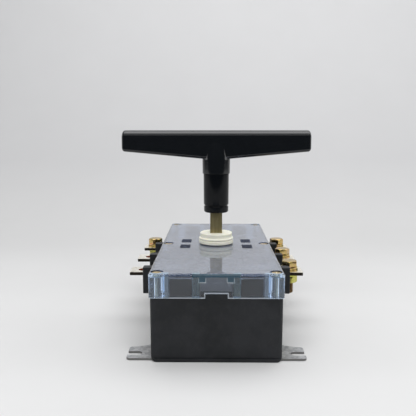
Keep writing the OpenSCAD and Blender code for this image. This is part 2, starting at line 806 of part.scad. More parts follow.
module drive_rack() {
    pitch = PI * tooth_m;
    count = 2 * floor((travel + 3 * pitch) / pitch);
    slope = tan(20);
    half_tip = pitch / 4 - backlash / 4 - tooth_m * slope;
    half_root = pitch / 4 - backlash / 4 + 1.25 * tooth_m * slope;
    root_x = pitch_r + 1.25 * tooth_m;
    half = pitch * count / 2;
    color("#c7ab6b") difference() {
        union() {
            translate([0, 0, carriage_z]) linear_extrude(pinion_top - carriage_z) {
                translate([root_x, -half]) square([rack_back - root_x, 2 * half]);
                for (i = [0 : count - 1]) let (y = (i + 0.5) * pitch - half)
                    polygon([[root_x + e, y - half_root], [pitch_r - tooth_m, y - half_tip],
                             [pitch_r - tooth_m, y + half_tip], [root_x + e, y + half_root]]);
            }
            for (s = [-1, 1]) {
                y0 = s * rack_screw_y - ear_half;
                y1 = s * rack_screw_y + ear_half;
                box([root_x + 0.6, y0, pinion_top - 1], [rack_back, y1, carriage_top + ear_t]);
                box([rack_back - 1, y0, carriage_top + seat], [rack_back + 6, y1, carriage_top + ear_t]);
            }
        }
        for (s = [-1, 1]) peg([rack_screw_x, s * rack_screw_y, carriage_top - 1], 4, small_d + pass_fit);
    }
}

module rack_screws() {
    color("#8f8f8a") for (y = [-1, 1])
        translate([rack_screw_x, y * rack_screw_y, carriage_top + ear_t + seat])
            pan_screw(small_d, 9, small_head_d, small_head_h);
}

// One strip, drawn with the face that slides on the bars at z = 0 and its ends curved away.
module strip() {
    flat_half = strip_half - 2;
    lift = 0.9;
    difference() {
        translate([strip_mid, 0, 0]) along_x(strip_w) polygon([
            [-strip_half, lift], [-flat_half, 0], [flat_half, 0], [strip_half, lift],
            [strip_half, lift + strip_t], [flat_half, strip_t],
            [-flat_half, strip_t], [-strip_half, lift + strip_t]]);
        peg([strip_mid, 0, -1], strip_t + 2, guide_pin_d + 2 * seat);
    }
}

module upper_contact_strips() {
    color("#b87a4b") both_sides() translate([0, 0, bar_top + contact_gap]) strip();
}

module lower_contact_strips() {
    color("#b87a4b") both_sides() translate([0, 0, bar_z - contact_gap]) mirror([0, 0, 1]) strip();
}

// A round-wire spring standing on z = 0: a ring of points for each step around its helix.
module coil_spring(r, wire, height, turns) {
    sides = 6;
    per_turn = 12;
    steps = turns * per_turn;
    rise = (height - wire) / steps;
    points = [for (i = [0 : steps], k = [0 : sides - 1])
        let (a = 360 * i / per_turn, b = 360 * k / sides + 30, s = r + wire / 2 * cos(b))
        [s * cos(a), s * sin(a), wire / 2 + rise * i + wire / 2 * sin(b)]];
    first = [for (k = [0 : sides - 1]) k];
    last = [for (k = [sides - 1 : -1 : 0]) steps * sides + k];
    walls = [for (i = [0 : steps - 1], k = [0 : sides - 1]) let (j = (k + 1) % sides)
        [i * sides + k, (i + 1) * sides + k, (i + 1) * sides + j, i * sides + j]];
    polyhedron(points = points, faces = concat([first], walls, [last]), convexity = 6);
}

module contact_springs() {
    low_gap = bar_z - contact_gap - strip_t - lower_arm_top;
    high_z = bar_top + contact_gap + strip_t;
    color("#a7abb0") for (s = [-1, 1]) {
        translate([s * strip_mid, 0, high_z + seat])
            coil_spring(coil_r, coil_wire, upper_arm_z - high_z - 2 * seat, 3);
        translate([s * strip_mid, 0, lower_arm_top + seat])
            coil_spring(coil_r, coil_wire, low_gap - 2 * seat, 3);
    }
}

module contact_guide_pins() {
    color("#c2a062") both_sides() translate([strip_mid, 0, 0]) {
        top = upper_arm_z + upper_arm_t + seat;
        low = lower_arm_top - lower_arm_t - seat;
        peg([0, 0, bar_top + contact_gap + 0.1], top - bar_top, guide_pin_d);
        peg([0, 0, top], guide_head_h, guide_head_d);
        peg([0, 0, low - 0.1], bar_z - contact_gap - low, guide_pin_d);
        peg([0, 0, low - guide_head_h], guide_head_h, guide_head_d);
    }
}

// ---- Handle ----

module grip_outline() {
    hl = grip_l / 2;
    r = 2.6;
    low = grip_top - grip_end_h;
    polygon(concat(
        arc(hl - r, grip_top - r, r, 0, 90),
        arc(-hl + r, grip_top - r, r, 90, 180),
        arc(-hl + r, low + r, r, 180, 266),
        [[-collar_d / 2, grip_z], [collar_d / 2, grip_z]],
        arc(hl - r, low + r, r, 274, 360)));
}

module handle_grip() {
    collar_z = grip_z - collar_h;
    color("#151617") difference() {
        union() {
            intersection() {
                along_y(grip_t) grip_outline();
                along_x(grip_l)
                    polygon(outline(-grip_t / 2, grip_z - 1, grip_t / 2, grip_top, [3, 3, 4.5, 4.5]));
            }
            translate([0, 0, collar_z]) cylinder(h = collar_h + 3, d1 = collar_d, d2 = collar_d + 0.4);
            translate([0, 0, grip_z]) intersection() {
                cylinder(h = grip_mid_h * 0.55, d1 = collar_d + 1.2, d2 = collar_d - 3);
                box([-collar_d, -grip_t * 0.7, -1], [collar_d, grip_t * 0.7, grip_mid_h]);
            }
        }
        peg([0, 0, collar_z - 1], collar_h - 0.9, spigot_d + 2 * seat);
        peg([0, 0, collar_z - 1], socket_top + 1.05 - collar_z, socket_d + 2 * seat);
    }
}

module handle_sleeve() {
    r = sleeve_d / 2;
    top = sleeve_z + sleeve_h - seat;
    spigot_top = top + collar_h - 2.5;
    color("#1a1b1c") difference() {
        rotate_extrude() polygon(concat(
            [[0, sleeve_z]],
            arc(r - 0.4 - 2, sleeve_z + 2, 2, 270, 360),
            // a groove near the lower end
            [[r - 0.4, sleeve_z + 6], [r - 1.3, sleeve_z + 6.2], [r - 1.3, sleeve_z + 7.8],
             [r - 0.2, sleeve_z + 8], [r, top],
             [spigot_d / 2, top], [spigot_d / 2, spigot_top], [0, spigot_top]]));
        peg([0, 0, sleeve_z - 1], sleeve_h + collar_h, socket_d + 2 * seat);
    }
}

module handle_socket() {
    color("#8d8f92") difference() {
        peg([0, 0, socket_z], socket_top - socket_z, socket_d);
        square_hole(socket_z - 1, shaft_top, 2 * run_fit);
    }
}

base();
cover();
cover_screws();
position_labels();
front_mounting_strap();
rear_mounting_strap();
strap_screws();
source_1_bar_left();
load_bar_left();
source_2_bar_left();
source_1_bar_right();
load_bar_right();
source_2_bar_right();
bar_fixing_screws();
terminal_bolts();
terminal_spring_washers();
terminal_flat_washers();
terminal_nuts();
terminal_barriers();
shaft_bush();
guide_rods();
rod_clamps();
rod_clamp_screws();
left_detent_spring();
right_detent_spring();
detent_spring_screws();
operating_shaft();
shaft_washer();
detent_cam();
drive_pinion();
pinion_pin();
spacer_sleeve();
position_dial();
contact_carriage();
drive_rack();
rack_screws();
upper_contact_strips();
lower_contact_strips();
contact_springs();
contact_guide_pins();
handle_grip();
handle_sleeve();
handle_socket();
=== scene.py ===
import json
import math

import bmesh
import bpy
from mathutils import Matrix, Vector

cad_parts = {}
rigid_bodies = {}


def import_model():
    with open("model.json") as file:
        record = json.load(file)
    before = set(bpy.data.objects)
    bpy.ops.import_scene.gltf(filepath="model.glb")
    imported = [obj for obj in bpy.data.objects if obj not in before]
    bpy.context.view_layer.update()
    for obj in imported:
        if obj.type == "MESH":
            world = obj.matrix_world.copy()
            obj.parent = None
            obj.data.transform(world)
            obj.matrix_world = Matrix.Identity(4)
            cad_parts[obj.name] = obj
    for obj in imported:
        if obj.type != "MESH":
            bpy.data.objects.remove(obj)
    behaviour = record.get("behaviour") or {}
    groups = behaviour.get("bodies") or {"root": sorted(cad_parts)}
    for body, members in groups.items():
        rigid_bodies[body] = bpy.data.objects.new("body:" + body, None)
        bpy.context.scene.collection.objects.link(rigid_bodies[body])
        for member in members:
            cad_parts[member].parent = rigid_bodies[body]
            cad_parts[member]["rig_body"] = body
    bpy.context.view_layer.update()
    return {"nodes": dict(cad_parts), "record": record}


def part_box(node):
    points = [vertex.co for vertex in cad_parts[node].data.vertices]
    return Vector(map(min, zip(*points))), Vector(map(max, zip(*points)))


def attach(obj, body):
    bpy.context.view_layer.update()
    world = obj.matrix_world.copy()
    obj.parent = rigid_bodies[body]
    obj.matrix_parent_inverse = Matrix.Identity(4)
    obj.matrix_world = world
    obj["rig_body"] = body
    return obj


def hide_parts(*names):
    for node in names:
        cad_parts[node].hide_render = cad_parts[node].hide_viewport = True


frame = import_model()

MM = 0.001
TAU = 2 * math.pi

# ---------------------------------------------------------------- mesh tools


def to_object(name, bm):
    """A new object from a bmesh, whose normals are made to point outwards."""
    bmesh.ops.recalc_face_normals(bm, faces=bm.faces)
    mesh = bpy.data.meshes.new(name)
    bm.to_mesh(mesh)
    bm.free()
    obj = bpy.data.objects.new(name, mesh)
    bpy.context.scene.collection.objects.link(obj)
    return obj


def apply_modifiers(obj):
    """Bakes the object's modifiers into its mesh."""
    depsgraph = bpy.context.evaluated_depsgraph_get()
    mesh = bpy.data.meshes.new_from_object(obj.evaluated_get(depsgraph))
    obj.modifiers.clear()
    old = obj.data
    obj.data = mesh
    bpy.data.meshes.remove(old)
    return obj


def smooth(obj, angle=35):
    """Smooth shading, with edges sharper than the angle left sharp."""
    mesh = obj.data
    mesh.polygons.foreach_set("use_smooth", [True] * len(mesh.polygons))
    mesh.set_sharp_from_angle(angle=math.radians(angle))
    mesh.update()
    return obj


def bevel(obj, width, segments=2, angle=30):
    """Rounds every edge sharper than the angle. The width is in millimetres."""
    mod = obj.modifiers.new("bevel", "BEVEL")
    mod.width = width * MM
    mod.segments = segments
    mod.limit_method = "ANGLE"
    mod.angle_limit = math.radians(angle)
    mod.use_clamp_overlap = True
    mod.harden_normals = False
    return apply_modifiers(obj)


def weigh_normals(obj):
    """Makes large flat faces keep their own normals, so that only the rounded edges shade as round."""
    mod = obj.modifiers.new("weigh", "WEIGHTED_NORMAL")
    mod.mode = "FACE_AREA_WITH_ANGLE"
    mod.weight = 100
    mod.keep_sharp = True
    return apply_modifiers(obj)


def boolean(obj, others, operation="DIFFERENCE"):
    """Cuts from, or joins to, obj the other objects, which are then removed."""
    for other in others:
        mod = obj.modifiers.new("boolean", "BOOLEAN")
        mod.operation = operation
        mod.solver = "EXACT"
        mod.object = other
        apply_modifiers(obj)
        bpy.data.objects.remove(other)
    return obj


def join(name, objects):
    """One object from several that don't overlap."""
    bm = bmesh.new()
    for obj in objects:
        obj.data.transform(obj.matrix_world)
        bm.from_mesh(obj.data)
        bpy.data.objects.remove(obj)
    mesh = bpy.data.meshes.new(name)
    bm.to_mesh(mesh)
    bm.free()
    out = bpy.data.objects.new(name, mesh)
    bpy.context.scene.collection.objects.link(out)
    return out


def rings_to_object(name, rings, closed=False):
    """A surface through rings of points, capped at both ends unless it closes on itself."""
    bm = bmesh.new()
    rows = [[bm.verts.new(p) for p in ring] for ring in rings]
    n = len(rows[0])
    following = rows[1:] + rows[:1] if closed else rows[1:]
    for low, high in zip(rows, following):
        for k in range(n):
            j = (k + 1) % n
            bm.faces.new((low[k], low[j], high[j], high[k]))
    if not closed:
        bm.faces.new(rows[0])
        bm.faces.new(rows[-1])
    return to_object(name, bm)


def around(centre, r, z, k, segments):
    """A point in metres, k steps round a circle whose centre, radius and height are in millimetres."""
    a = TAU * k / segments
    return ((centre[0] + r * math.cos(a)) * MM, (centre[1] + r * math.sin(a)) * MM, (centre[2] + z) * MM)


def revolve(name, profile, centre=(0, 0, 0), segments=96):
    """A solid of revolution about Z, from a list of (radius, height) that starts and ends on the axis."""
    bm = bmesh.new()
    rows = []
    for r, z in profile:
        steps = 1 if r == 0 else segments
        rows.append([bm.verts.new(around(centre, r, z, k, segments)) for k in range(steps)])
    for low, high in zip(rows, rows[1:]):
        for k in range(segments):
            j = (k + 1) % segments
            corners = [low[k % len(low)], low[j % len(low)], high[j % len(high)], high[k % len(high)]]
            face = [v for i, v in enumerate(corners) if v not in corners[:i]]
            if len(face) > 2:
                bm.faces.new(face)
    return to_object(name, bm)


def tube(name, profile, centre=(0, 0, 0), segments=96):
    """A ring-shaped solid of revolution, from a closed loop of (radius, height) in millimetres."""
    rings = [[around(centre, r, z, k, segments) for r, z in profile] for k in range(segments)]
    return rings_to_object(name, rings, closed=True)


def prism(name, outline, z0, z1):
    """An upright prism over an outline in millimetres."""
    return rings_to_object(name, [[(x * MM, y * MM, z * MM) for x, y in outline] for z in (z0, z1)])


def block(name, low, high):
    """A plain box used for cutting and joining, in millimetres."""
    (x0, y0, z0), (x1, y1, z1) = low, high
    return prism(name, [(x0, y0), (x1, y0), (x1, y1), (x0, y1)], z0, z1)


def arc(cx, cy, r, a0, a1, n=8):
    """Points on an arc, from angle a0 to a1 in degrees."""
    angles = [math.radians(a0 + (a1 - a0) * i / n) for i in range(n + 1)]
    return [(cx + r * math.cos(a), cy + r * math.sin(a)) for a in angles]


def round_rect(half_x, half_y, r, n=8):
    """The outline of a rectangle with round corners, anticlockwise."""
    r = max(r, 0.01)
    return (arc(half_x - r, -half_y + r, r, -90, 0, n) + arc(half_x - r, half_y - r, r, 0, 90, n)
            + arc(-half_x + r, half_y - r, r, 90, 180, n) + arc(-half_x + r, -half_y + r, r, 180, 270, n))


def box_mm(node):
    """A CAD node's box in millimetres: (low, high)."""
    low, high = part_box(node)
    return low / MM, high / MM


# ---------------------------------------------------------------- materials

# places on the base and cover that their materials follow, in millimetres
FAR = 1000
MID_PANEL = 13.5              # half the width of the base's middle end panel, with its rim
SIDE_PANEL = (19.5, 38.5)     # across a side panel, from the centre
PEG = (8.8, 14.0)             # across a round peg behind an end skirt
TAB_HALF = 9
TAB_H = 3.9                   # height of the base's tab over the cover's lower edge
BAR_PITCH = box_mm("source_2_bar_left")[1].y - box_mm("load_bar_left")[1].y


class Shader:
    """Builds one procedural material around its Principled shader."""

    def __init__(self, name, colour, roughness, metallic=0.0, **sockets):
        self.material = bpy.data.materials.new(name)
        self.material.use_nodes = True
        self.tree = self.material.node_tree
        self.shader = self.tree.nodes["Principled BSDF"]
        self.shader.inputs["Base Color"].default_value = (*colour, 1)
        self.shader.inputs["Roughness"].default_value = roughness
        self.shader.inputs["Metallic"].default_value = metallic
        for socket, value in sockets.items():
            self.shader.inputs[socket.replace("_", " ")].default_value = value
        self.place = self.node("ShaderNodeTexCoord").outputs["Object"]
        self.last_normal = None

    def node(self, kind, **settings):
        made = self.tree.nodes.new(kind)
        for key, value in settings.items():
            setattr(made, key, value)
        return made

    def link(self, a, b):
        self.tree.links.new(a, b)

    def stretched(self, x, y, z):
        """The object's coordinates, scaled by axis, for grain that runs one way."""
        mapping = self.node("ShaderNodeMapping")
        mapping.inputs["Scale"].default_value = (x, y, z)
        self.link(self.place, mapping.inputs["Vector"])
        return mapping.outputs["Vector"]

    def noise(self, size, detail=4, rough=0.55, distortion=0.0, place=None):
        """Noise whose features are about size millimetres across."""
        made = self.node("ShaderNodeTexNoise")
        made.inputs["Scale"].default_value = 1 / (size * MM)
        made.inputs["Detail"].default_value = detail
        made.inputs["Roughness"].default_value = rough
        made.inputs["Distortion"].default_value = distortion
        self.link(place or self.place, made.inputs["Vector"])
        return made.outputs["Fac"]

    def cells(self, size, feature="F1", output="Distance", place=None):
        """Voronoi cells about size millimetres across."""
        made = self.node("ShaderNodeTexVoronoi", feature=feature)
        made.inputs["Scale"].default_value = 1 / (size * MM)
        self.link(place or self.place, made.inputs["Vector"])
        return made.outputs[output]

    def ramp(self, value, *stops):
        """Maps a value through (position, grey or colour) stops."""
        made = self.node("ShaderNodeValToRGB")
        elements = made.color_ramp.elements
        while len(elements) < len(stops):
            elements.new(0.5)
        for element, (position, colour) in zip(elements, stops):
            element.position = position
            element.color = (*colour, 1) if hasattr(colour, "__len__") else (colour, colour, colour, 1)
        self.link(value, made.inputs["Fac"])
        return made.outputs["Color"]

    def mix(self, factor, a, b, blend="MIX"):
        """Mixes two colours, each a constant or a node's output."""
        made = self.node("ShaderNodeMix", data_type="RGBA", blend_type=blend)
        sockets = [s for s in made.inputs if s.enabled]
        for socket, value in zip(sockets, (factor, a, b)):
            if isinstance(value, bpy.types.NodeSocket):
                self.link(value, socket)
            elif socket.type == "RGBA":
                socket.default_value = (*value, 1)
            else:
                socket.default_value = value
        return [s for s in made.outputs if s.enabled][0]

    def maths(self, operation, a, b=0.0):
        """One step of arithmetic on constants or nodes' outputs."""
        made = self.node("ShaderNodeMath", operation=operation)
        for socket, value in zip(made.inputs, (a, b)):
            if isinstance(value, bpy.types.NodeSocket):
                self.link(value, socket)
            else:
                socket.default_value = value
        return made.outputs[0]

    def edges(self, radius, low=0.0, high=1.0):
        """High on edges and low on flats: how far the bevelled normal leans from the true one. It marks
        worn edges and painted edge highlights.
        """
        bevelled = self.node("ShaderNodeBevel", samples=4)
        bevelled.inputs["Radius"].default_value = radius * MM
        geometry = self.node("ShaderNodeNewGeometry")
        dot = self.node("ShaderNodeVectorMath", operation="DOT_PRODUCT")
        self.link(bevelled.outputs["Normal"], dot.inputs[0])
        self.link(geometry.outputs["Normal"], dot.inputs[1])
        lean = self.maths("SUBTRACT", 1.0, dot.outputs["Value"])
        return self.ramp(lean, (0.02, low), (0.25, high))

    def upward(self, limit):
        """1 on faces that look up or down, 0 on upright ones."""
        geometry = self.node("ShaderNodeNewGeometry")
        split = self.node("ShaderNodeSeparateXYZ")
        self.link(geometry.outputs["True Normal"], split.inputs[0])
        return self.maths("GREATER_THAN", self.maths("ABSOLUTE", split.outputs["Z"]), limit)

    def axes(self):
        """How far out a point is along X and along Y, and its height."""
        split = self.node("ShaderNodeSeparateXYZ")
        self.link(self.place, split.inputs[0])
        x, y, z = split.outputs
        return self.maths("ABSOLUTE", x), self.maths("ABSOLUTE", y), z

    def within(self, value, low, high):
        """1 where a place in metres is between two limits in millimetres."""
        above = self.maths("GREATER_THAN", value, low * MM)
        return self.both(above, self.maths("LESS_THAN", value, high * MM))

    def both(self, first, *others):
        """The product of masks."""
        for other in others:
            first = self.maths("MULTIPLY", first, other)
        return first

    def either(self, first, *others):
        """The strongest of masks."""
        for other in others:
            first = self.maths("MAXIMUM", first, other)
        return first

    def colour(self, value):
        self.link(value, self.shader.inputs["Base Color"])
        return self

    def roughness(self, value, low, high):
        self.link(self.ramp(value, (0.25, low), (0.75, high)), self.shader.inputs["Roughness"])
        return self

    def bump(self, height, strength, depth):
        """Adds relief. The depth is in millimetres."""
        made = self.node("ShaderNodeBump")
        made.inputs["Strength"].default_value = strength
        made.inputs["Distance"].default_value = depth * MM
        self.link(height, made.inputs["Height"])
        if self.last_normal:
            self.link(self.last_normal, made.inputs["Normal"])
        self.last_normal = made.outputs["Normal"]
        self.link(self.last_normal, self.shader.inputs["Normal"])
        return self


def dark_moulding():
    """Near-black moulded plastic, with a film on the middle end panels and painted highlights on its edges
    under the cover.
    """
    cover_low, cover_high = box_mm("cover")
    s = Shader("dark_moulding", (0.012, 0.0125, 0.013), 0.5, Specular_IOR_Level=0.4)
    tones = (0.35, (0.003, 0.0042, 0.0058)), (0.65, (0.0105, 0.012, 0.0152))
    mottle = s.ramp(s.noise(22, 5, 0.6, 0.4), *tones)
    dust = s.ramp(s.noise(6, 6, 0.7), (0.5, 0.0), (0.85, 0.2))
    x, y, z = s.axes()
    under_cover = s.within(z, cover_low.z + 0.3, FAR)
    above_tab = s.within(z, cover_low.z + TAB_H, FAR)
    near_end = s.within(y, cover_high.y - 11, FAR)
    film = s.both(s.within(x, 0, MID_PANEL), above_tab, near_end, 0.85)
    # painted highlight: a pale blue-white line along the edges above the cover's lower edge, where they
    # catch light
    rim = s.both(under_cover, s.edges(0.45, 0.0, 0.8))
    body = s.mix(dust, mottle, (0.05, 0.048, 0.044))
    s.colour(s.mix(rim, s.mix(film, body, (0.32, 0.325, 0.335)), (0.45, 0.55, 0.65)))
    s.roughness(s.noise(9, 5), 0.4, 0.56)
    s.bump(s.noise(0.35, 3), 0.18, 0.05)
    s.bump(s.noise(16, 2), 0.12, 0.6)
    return s.material


def clear_polycarbonate():
    """Bluish clear plastic: dusty on top, with painted light in the corners and over the ribs of its end
    skirts, painted highlights along their edges, and painted shade over the pegs and the top's front edge.
    """
    low, high = box_mm("cover")
    s = Shader("clear_polycarbonate", (0.88, 0.93, 1.0), 0.04, IOR=1.5, Transmission_Weight=1.0)
    s.roughness(s.noise(14, 5, 0.65), 0.015, 0.07)
    s.bump(s.noise(26, 2), 0.04, 0.5)
    x, y, z = s.axes()
    flat = s.upward(0.9)
    skirt = s.within(y, high.y - 4.5, FAR)
    corner = s.both(skirt, s.within(x, SIDE_PANEL[1], FAR))
    rib = s.both(skirt, s.within(x, MID_PANEL, SIDE_PANEL[0]))

    # painted shade: the pegs and the top's front edge, seen through much plastic, are made dark and let
    # less light through
    peg = s.both(s.within(x, *PEG), s.within(z, high.z - 7, FAR))
    top_edge = s.both(s.within(x, -1, SIDE_PANEL[0]), s.within(z, high.z - 3, FAR))
    painted_shade = s.both(skirt, s.maths("SUBTRACT", 1.0, flat), s.either(peg, top_edge))

    # painted highlights: thin light outlines round the pegs, and light lines along the skirts' edges, their
    # lower lip and round the base's tab
    outline = s.both(s.within(x, PEG[0] - 0.5, PEG[1] + 0.5), s.within(z, high.z - 7.6, high.z - 3.7))
    outline = s.both(outline, s.maths("SUBTRACT", 0.42, painted_shade))
    lip = s.both(s.within(z, 0, low.z + 0.6), 0.5)
    tab = s.both(s.within(x, -1, TAB_HALF + 0.8), s.within(z, 0, low.z + TAB_H + 0.7), 0.4)
    painted_highlight_lines = s.both(skirt, s.either(s.edges(0.4, 0.0, 0.5), outline, lip, tab))

    dust = s.both(flat, s.ramp(s.noise(9, 6, 0.7), (0.3, 0.22), (0.75, 0.32)))
    # painted light: the skirts' corners and ribs let less light through and are paler and bluer, standing
    # in for light refracted down through the top; the haze below mixes this with the real dust, the painted
    # highlights and the painted shade
    painted_refracted_light = s.maths("ADD", s.both(corner, 0.14), s.both(rib, 0.1))
    haze = s.either(s.maths("ADD", dust, painted_refracted_light), painted_highlight_lines, s.both(painted_shade, 0.72))
    s.link(s.maths("SUBTRACT", 1.0, haze), s.shader.inputs["Transmission Weight"])
    tint = s.mix(flat, (0.88, 0.93, 1.0), (0.56, 0.6, 0.69))
    # the painted light, painted shade and painted highlights take their colours here
    for mask, colour in ((corner, (0.66, 0.82, 1.0)), (rib, (0.5, 0.68, 0.8)), (painted_shade, (0.03, 0.08, 0.12)),
                         (painted_highlight_lines, (0.85, 0.93, 1.0))):
        tint = s.mix(mask, tint, colour)
    s.colour(tint)
    absorb = s.node("ShaderNodeVolumeAbsorption")
    absorb.inputs["Color"].default_value = (0.4, 0.6, 0.86, 1)
    absorb.inputs["Density"].default_value = 38.0
    s.link(absorb.outputs["Volume"], s.tree.nodes["Material Output"].inputs["Volume"])
    return s.material


def glossy_bakelite(name="glossy_bakelite", roughness=(0.07, 0.15), grey=0.004, shine=0.5):
    """Polished black moulding with a faint haze."""
    s = Shader(name, (grey, grey, grey), 0.15, Specular_IOR_Level=shine)
    haze = s.ramp(s.noise(18, 6, 0.7), (0.45, 0.0), (0.8, 0.25))
    s.colour(s.mix(haze, (grey * 0.8, grey * 1.1, grey * 1.5), (grey * 3, grey * 3.3, grey * 3.6)))
    s.roughness(s.noise(5, 6, 0.7), *roughness)
    s.bump(s.noise(7, 2), 0.05, 0.4)
    s.bump(s.noise(0.5, 3), 0.03, 0.05)
    return s.material


def ivory_plastic():
    """Slightly translucent cream plastic with a few stains."""
    s = Shader("ivory_plastic", (0.8, 0.77, 0.62), 0.4, Subsurface_Weight=0.15, Specular_IOR_Level=0.45)
    s.shader.inputs["Subsurface Radius"].default_value = (0.004, 0.003, 0.0015)
    tone = s.ramp(s.noise(10, 4), (0.3, (0.88, 0.87, 0.74)), (0.7, (0.94, 0.92, 0.8)))
    stain = s.ramp(s.noise(2.5, 6, 0.7), (0.6, 0.0), (0.85, 0.35))
    s.colour(s.mix(stain, tone, (0.6, 0.54, 0.38)))
    s.roughness(s.noise(3, 4), 0.32, 0.5)
    s.bump(s.noise(0.6, 3), 0.1, 0.06)
    return s.material


def plated_shaft():
    """Dull olive plating with streaks along the shaft."""
    s = Shader("plated_shaft", (0.32, 0.27, 0.13), 0.42, 0.85)
    along = s.stretched(1, 1, 0.06)
    streak = s.noise(1.1, 5, 0.6, place=along)
    s.colour(s.ramp(streak, (0.3, (0.2, 0.165, 0.075)), (0.7, (0.4, 0.34, 0.18))))
    s.roughness(s.noise(2, 4), 0.34, 0.52)
    s.bump(s.noise(0.25, 3, place=along), 0.2, 0.04)
    return s.material


def yellow_zinc():
    """Yellow-passivated zinc: golden heads, greener nuts and brown threads."""
    s = Shader("yellow_zinc", (0.6, 0.47, 0.2), 0.25, 1.0)
    hue = s.noise(4.5, 3, 0.5, 0.8)
    golden = s.ramp(hue, (0.3, (0.36, 0.3, 0.08)), (0.5, (0.6, 0.44, 0.17)), (0.7, (0.66, 0.4, 0.24)))
    green = s.ramp(hue, (0.35, (0.5, 0.52, 0.09)), (0.65, (0.62, 0.55, 0.2)))
    height = s.axes()[2]
    under_bars = s.within(height, -1, box_mm("load_bar_left")[0].z - 0.5)
    under_nuts = s.within(height, -1, box_mm("terminal_nuts")[0].z - 0.08)
    base = s.mix(under_nuts, s.mix(under_bars, golden, green), (0.2, 0.13, 0.07))
    dull = s.ramp(s.noise(1.2, 5, 0.7), (0.5, 0.0), (0.8, 0.6))
    s.colour(s.mix(dull, base, (0.2, 0.15, 0.07)))
    s.roughness(s.noise(1.5, 5), 0.12, 0.3)
    s.bump(s.noise(0.6, 4), 0.15, 0.05)
    return s.material


def brass_screw():
    """Tarnished brass."""
    s = Shader("brass_screw", (0.62, 0.42, 0.15), 0.35, 1.0)
    tone = s.ramp(s.noise(1.6, 5, 0.65), (0.3, (0.42, 0.31, 0.15)), (0.7, (0.86, 0.74, 0.5)))
    s.colour(tone)
    s.roughness(s.noise(1, 4), 0.25, 0.5)
    s.bump(s.noise(0.4, 4), 0.15, 0.05)
    return s.material


def tinned_copper():
    """Tinned on top, dark on the cut sides, and copper-red in the terminal holes."""
    s = Shader("tinned_copper", (0.7, 0.66, 0.58), 0.34, 1.0)
    tin = s.ramp(s.noise(3.5, 6, 0.65), (0.3, (0.72, 0.69, 0.6)), (0.7, (0.95, 0.93, 0.87)))
    worn = s.mix(s.edges(0.5, 0.0, 0.4), tin, (0.55, 0.3, 0.17))
    along_y = s.axes()[1]
    from_hole = s.maths("PINGPONG", along_y, BAR_PITCH / 2 * MM)
    side = s.mix(s.within(from_hole, -1, 5.5), (0.03, 0.025, 0.02), (0.55, 0.2, 0.09))
    s.colour(s.mix(s.upward(0.85), side, worn))
    s.roughness(s.noise(2.2, 5), 0.36, 0.55)
    s.bump(s.noise(0.3, 4, place=s.stretched(0.08, 1, 1)), 0.2, 0.04)
    return s.material


def bare_copper():
    """Brushed copper with dark patches."""
    s = Shader("bare_copper", (0.62, 0.3, 0.16), 0.32, 1.0)
    s.colour(s.ramp(s.noise(3, 6, 0.7), (0.3, (0.36, 0.17, 0.1)), (0.7, (0.72, 0.38, 0.22))))
    s.roughness(s.noise(2, 5), 0.25, 0.5)
    s.bump(s.noise(0.3, 3, place=s.stretched(1, 0.08, 1)), 0.15, 0.04)
    return s.material


def galvanised_steel():
    """Spangled zinc with darker cut edges."""
    s = Shader("galvanised_steel", (0.56, 0.57, 0.58), 0.42, 0.9)
    grain = s.node("ShaderNodeRGBToBW")
    s.link(s.cells(3, output="Color"), grain.inputs[0])
    tone = s.ramp(grain.outputs[0], (0.25, (0.27, 0.28, 0.3)), (0.75, (0.6, 0.61, 0.62)))
    fine = s.ramp(s.noise(1.3, 5, 0.7), (0.3, (0.26, 0.27, 0.29)), (0.7, (0.66, 0.67, 0.68)))
    tone = s.mix(0.5, tone, fine)
    rust = s.ramp(s.noise(3, 6, 0.75), (0.66, 0.0), (0.82, 0.5))
    face = s.mix(rust, tone, (0.28, 0.25, 0.22))
    s.colour(s.mix(s.upward(0.85), (0.2, 0.2, 0.195), face))
    s.roughness(s.noise(4, 5), 0.3, 0.5)
    s.bump(s.noise(0.8, 4), 0.2, 0.06)
    return s.material


def steel(name, dark, light, roughness=(0.25, 0.45), grain=(1, 1, 1)):
    """A mottled metal between two tones."""
    s = Shader(name, light, 0.35, 1.0)
    s.colour(s.ramp(s.noise(2.5, 6, 0.65), (0.3, dark), (0.7, light)))
    s.roughness(s.noise(1.5, 5), *roughness)
    s.bump(s.noise(0.3, 3, place=s.stretched(*grain)), 0.15, 0.03)
    return s.material


def brown_phenolic():
    """Brown insulating board with faint fibres."""
    s = Shader("brown_phenolic", (0.13, 0.07, 0.045), 0.45, Specular_IOR_Level=0.45)
    fibre = s.noise(1.4, 5, 0.65, place=s.stretched(1, 0.3, 1))
    s.colour(s.ramp(fibre, (0.3, (0.075, 0.042, 0.03)), (0.7, (0.17, 0.1, 0.065))))
    s.roughness(s.noise(2, 4), 0.36, 0.56)
    s.bump(s.noise(0.5, 4), 0.15, 0.05)
    return s.material


def label_ink():
    """Dark blue ink with a few paler specks."""
    s = Shader("label_ink", (0.03, 0.05, 0.14), 0.45, Specular_IOR_Level=0.05)
    ink = s.ramp(s.noise(1.2, 5, 0.7), (0.35, (0.006, 0.011, 0.028)), (0.75, (0.014, 0.022, 0.05)))
    pale = s.ramp(s.cells(2.2, place=s.stretched(1, 0.45, 1)), (0.12, 0.6), (0.3, 0.0))
    s.colour(s.mix(pale, ink, (0.16, 0.2, 0.3)))
    s.roughness(s.noise(1, 3), 0.35, 0.55)
    s.bump(s.noise(0.3, 3), 0.1, 0.02)
    return s.material


